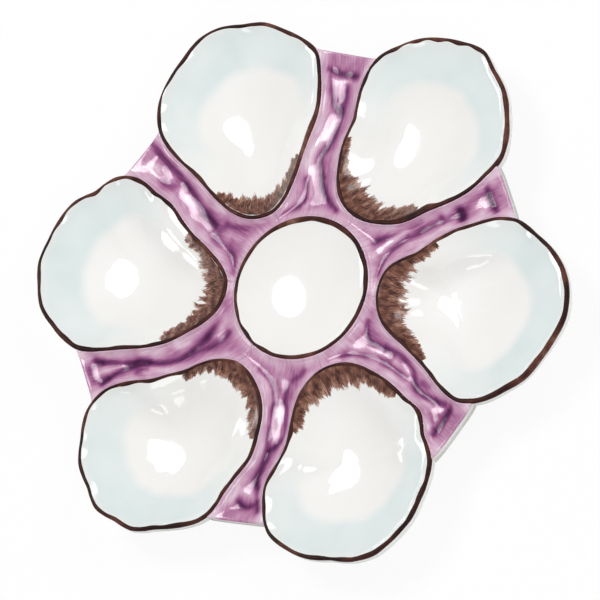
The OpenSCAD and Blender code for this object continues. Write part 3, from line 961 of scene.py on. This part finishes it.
def to_line(plan, shares):
    """Distance of a web's grid points from a line given in shares across and along it."""
    rows = np.clip(shares[:, 1], 0, 1) * (WEB_ROWS - 1)
    columns = np.clip(shares[:, 0], 0, 1) * (WEB_COLUMNS - 1)
    i = np.minimum(np.floor(rows).astype(int), WEB_ROWS - 2)
    j = np.minimum(np.floor(columns).astype(int), WEB_COLUMNS - 2)
    fi, fj = (rows - i)[:, None], (columns - j)[:, None]
    path = mix(mix(plan[i, j], plan[i, j + 1], fj), mix(plan[i + 1, j], plan[i + 1, j + 1], fj), fi)
    distance = np.full(plan.shape[:2], np.inf)
    for point in path:
        distance = np.minimum(distance, np.linalg.norm(plan - point, axis=-1))
    return distance


def join(a, b):
    """Heights that follow the larger of two, and blend smoothly where they are alike."""
    return (a ** JOIN_POWER + b ** JOIN_POWER) ** (1 / JOIN_POWER)


def valley(distance):
    """Drop below a web's edge at a distance from the nearest rim."""
    f = np.clip(distance / VALLEY_ROUND_W, 0, 1)
    side = VALLEY_SIDE_DROP * (1 - np.exp(-np.maximum(distance, 0) / VALLEY_SIDE_W))
    return side + VALLEY_ROUND_DROP * f * (2 - f)


def web(number):
    """The lilac glaze and the clay under it between two wells, with moulded grooves and ridges."""
    before, after = wells[number - 1], wells[number % WELL_COUNT]
    across, along = np.linspace(0, 1, WEB_COLUMNS), np.linspace(0, 1, WEB_ROWS)
    plan = web_plan(before, after, across, along)
    grooves, ridges, dark, pale = (np.zeros(plan.shape[:2]) for _ in range(4))
    for height, width, line in RELIEF[number - 1]:
        distance = to_line(plan, smooth_line(line))
        form = abs(height) * np.exp(-(distance / (RELIEF_SPREAD * width)) ** 2)
        paint = abs(height) * np.exp(-(distance / (PAINT_SPREAD * width)) ** 2)
        if height < 0:
            grooves, dark = join(grooves, form), join(dark, paint)
        else:
            ridges, pale = join(ridges, form), join(pale, paint)
    distance = beyond_rims(plan)
    end = smoothstep(0.9, 1.0, along)[:, None]
    sag = valley(distance) * mix(1, WEB_END_SHARE, end)
    fade = smoothstep(0.5, 3.5, distance) * (1 - 0.6 * end)
    drift = waves_over(9)(plan)
    relief = (RIDGE_SHARE * ridges - GROOVE_SHARE * grooves + 0.05 * drift) * fade
    top = RIM_H - WEB_LIP - sag + relief
    from_end = np.linalg.norm(plan - plan[-1:], axis=-1) / END_ROUND
    top = top - END_ROUND * (1 - np.sqrt(1 - np.clip(1 - from_end, 0, 0.98) ** 2))
    top = np.minimum(top, RIM_H - 0.05)
    middle = smoothstep(0.5, 5.5, distance)
    moulded = (0.47 * dark - 0.3 * pale) * mix(0.4, 1, fade)
    pool = 0.22 + 0.28 * middle + moulded + 0.04 * drift - 0.1 * end
    bottom = RIM_H - WALL_T - sag
    step_across = np.linalg.norm(np.diff(plan, axis=1, prepend=plan[:, :1]), axis=-1)
    step_along = np.linalg.norm(np.diff(plan, axis=0, prepend=plan[:1]), axis=-1)
    flow = np.stack([np.cumsum(step_across, 1) - step_across.sum(1, keepdims=True) / 2,
                     np.cumsum(step_along, 0) * FLOW_STRETCH,
                     np.full(distance.shape, 10.0 * number)], -1)
    # Across x along points down on this grid, so its faces are turned over
    points, faces = slab(with_height(plan, top), with_height(plan, top - GLAZE_T))
    piece(f"lilac_glaze_relief_{number}", points, faces[:, ::-1], LILAC, "lilac_glaze",
          f"lilac_glaze_{number}", pool=np.concatenate([pool.ravel()] * 2),
          flow=np.concatenate([flow.reshape(-1, 3)] * 2))
    points, faces = slab(with_height(plan, top - GLAZE_T), with_height(plan, bottom))
    piece(f"web_relief_{number}", points, faces[:, ::-1], EDGE, "web_clay", f"web_{number}")


for k in range(WELL_COUNT):
    web(k + 1)


# Foot ring


def foot():
    """The turned ring, with rounded standing edges; a height of None is the plate's underside."""
    low, high = box_mm("foot_ring")
    middle = (low[:2] + high[:2]) / 2
    flare, width, sunk = 1.2, 3.5, 0.5
    round_r, corner = 0.8, 0.3
    outer = (high[0] - low[0]) / 2 - flare
    inner = outer - width
    deg = np.arange(SIDES) * 360 / SIDES
    under = under_height(middle + polar(outer - width / 2, deg)) + sunk
    profile = [
        (inner - flare, None), (inner, 1.5 * round_r), (inner + corner, corner),
        (inner + round_r, 0.0), (outer - round_r, 0.0), (outer - corner, corner),
        (outer, 1.5 * round_r), (outer + flare, None),
    ]
    rings = [with_height(middle + polar(r, deg), under if z is None else z) for r, z in profile]
    rings.append(with_height(middle + polar(outer - width / 2, deg), under))
    grid = np.array(rings)[::-1]
    faces = grid_faces(*grid.shape[:2], round_rows=True, round_columns=True)
    piece("foot_ring_fired", grid, faces, CLAY, "foot_clay", "foot_ring")


def under_height(plan):
    """Height of the plate's underside over plan points, from the wells' and webs' meshes."""
    forms = [thing for thing in bpy.context.scene.objects
             if thing.name.startswith(("oyster_well_glazed", "web_relief"))]
    trees = [BVHTree.FromPolygons([v.co / MM for v in thing.data.vertices],
                                  [p.vertices for p in thing.data.polygons]) for thing in forms]
    heights = []
    for x, y in plan:
        hits = [tree.ray_cast(Vector((x, y, 0)), Vector((0, 0, 1)))[0] for tree in trees]
        heights.append(min(hit.z for hit in hits if hit))
    return np.array(heights)


foot()


# Floor, light and camera

# Strength of the even light from all round
AMBIENT = 0.44
# Share of the floor's brightness that shadows don't reach, for the photograph's white ground
FLOOR_GLOW = 0.9
FLOOR_HALF = 6.0
FLOOR_GAP = 0.1 * MM
# The photograph's view: its tilt off the vertical, its bearing, its distance, what a pixel shows, and
# how far the ring of wells' middle lies left of the picture's middle and above it, in pixels
TILT_DEG = 31.43
BEARING_DEG = -32.79
CAMERA_DISTANCE = 3.4256
PER_PIXEL = 0.39 * MM
PICTURE_PIXELS = 600
PIXELS_LEFT, PIXELS_UP = 4.36, 12.44
SENSOR_W = 36


def stage():
    """A pale floor that shows white round the plate, and a world that lights it evenly."""
    finish = Finish("floor", roughness=0.9, specular_ior_level=0.1)
    finish.set("Base Color", finish.ramp(finish.noise(3, 2), (0.3, "F2F2F1"), (0.7, "F6F6F5")))
    seen = finish.node("LightPath").outputs["Is Camera Ray"]
    glow = finish.node("Emission", Color=(1, 1, 1, 1), Strength=1.0).outputs[0]
    both = finish.tree.nodes.new("ShaderNodeMixShader")
    finish.tree.links.new(finish.math("MULTIPLY", seen, FLOOR_GLOW), both.inputs[0])
    finish.tree.links.new(finish.shader.outputs[0], both.inputs[1])
    finish.tree.links.new(glow, both.inputs[2])
    finish.tree.links.new(both.outputs[0], finish.tree.nodes["Material Output"].inputs[0])
    sides = ((-1, -1), (1, -1), (1, 1), (-1, 1))
    corners = [(x * FLOOR_HALF, y * FLOOR_HALF, -FLOOR_GAP) for x, y in sides]
    data = bpy.data.meshes.new("floor")
    data.from_pydata(corners, [], [(0, 1, 2, 3)])
    data.materials.append(finish.material)
    floor = placed("floor", data)

    world = bpy.data.worlds.new("studio")
    bpy.context.scene.world = world
    world.use_nodes = True
    nodes, links = world.node_tree.nodes, world.node_tree.links
    background = nodes["Background"]
    background.inputs["Color"].default_value = (1, 1, 1, 1)
    path = nodes.new("ShaderNodeLightPath")
    level = nodes.new("ShaderNodeMix")
    level.inputs[2].default_value = AMBIENT
    level.inputs[3].default_value = 1.0
    links.new(path.outputs["Is Camera Ray"], level.inputs[0])
    links.new(level.outputs[0], background.inputs["Strength"])


def softbox(name, direction, distance, size, watts):
    """An oval light that faces the plate from a direction."""
    lamp = bpy.data.lights.new(name, "AREA")
    lamp.shape = "ELLIPSE"
    lamp.size, lamp.size_y = size
    lamp.energy = watts
    light = placed(name, lamp)
    towards = Vector(direction).normalized()
    light.location = towards * distance
    light.rotation_euler = towards.to_track_quat("Z", "Y").to_euler()


def camera():
    """The photograph's view, turned about its own line of sight so that +Y points up in it."""
    tilt, bearing = math.radians(TILT_DEG), math.radians(BEARING_DEG)
    along = Vector((math.cos(bearing), math.sin(bearing), 0))
    side = Vector((-math.sin(bearing), math.cos(bearing), 0))
    up_z = Vector((0, 0, 1))
    away = math.sin(tilt) * along + math.cos(tilt) * up_z
    fall = math.cos(tilt) * along - math.sin(tilt) * up_z
    right = math.cos(bearing) * fall - math.sin(bearing) * side
    up = math.sin(bearing) * fall + math.cos(bearing) * side
    ring_middle = Vector((RING_X, 0, RIM_H)) * MM
    data = bpy.data.cameras.new("camera")
    data.sensor_width = SENSOR_W
    data.lens = SENSOR_W * CAMERA_DISTANCE / PER_PIXEL / PICTURE_PIXELS
    data.clip_end = 20
    view = placed("camera", data)
    shift = (right * PIXELS_LEFT - up * PIXELS_UP) * PER_PIXEL
    place = ring_middle + away * CAMERA_DISTANCE + shift
    view.matrix_world = Matrix.Translation(place) @ Matrix((right, up, away)).transposed().to_4x4()
    bpy.context.scene.camera = view


stage()
softbox("key", (-0.25, 0.32, 0.93), 1.7, (0.56, 0.74), 12.5)
softbox("right", (0.71, 0.28, 0.645), 1.8, (0.45, 0.6), 3.4)
softbox("rear", (0.49, 0.63, 0.60), 1.8, (0.4, 0.35), 1.6)
softbox("corner", (0.50, -0.45, 0.74), 1.8, (0.5, 0.5), 3.2)
softbox("front", (-0.30, -0.74, 0.60), 1.8, (0.5, 0.25), 1.0)
softbox("left", (-0.97, 0.0, 0.12), 1.8, (1.2, 0.3), 4)
softbox("low", (0.75, -0.6, 0.25), 1.8, (0.9, 0.4), 3)
camera()
bpy.context.scene.view_settings.view_transform = "Standard"
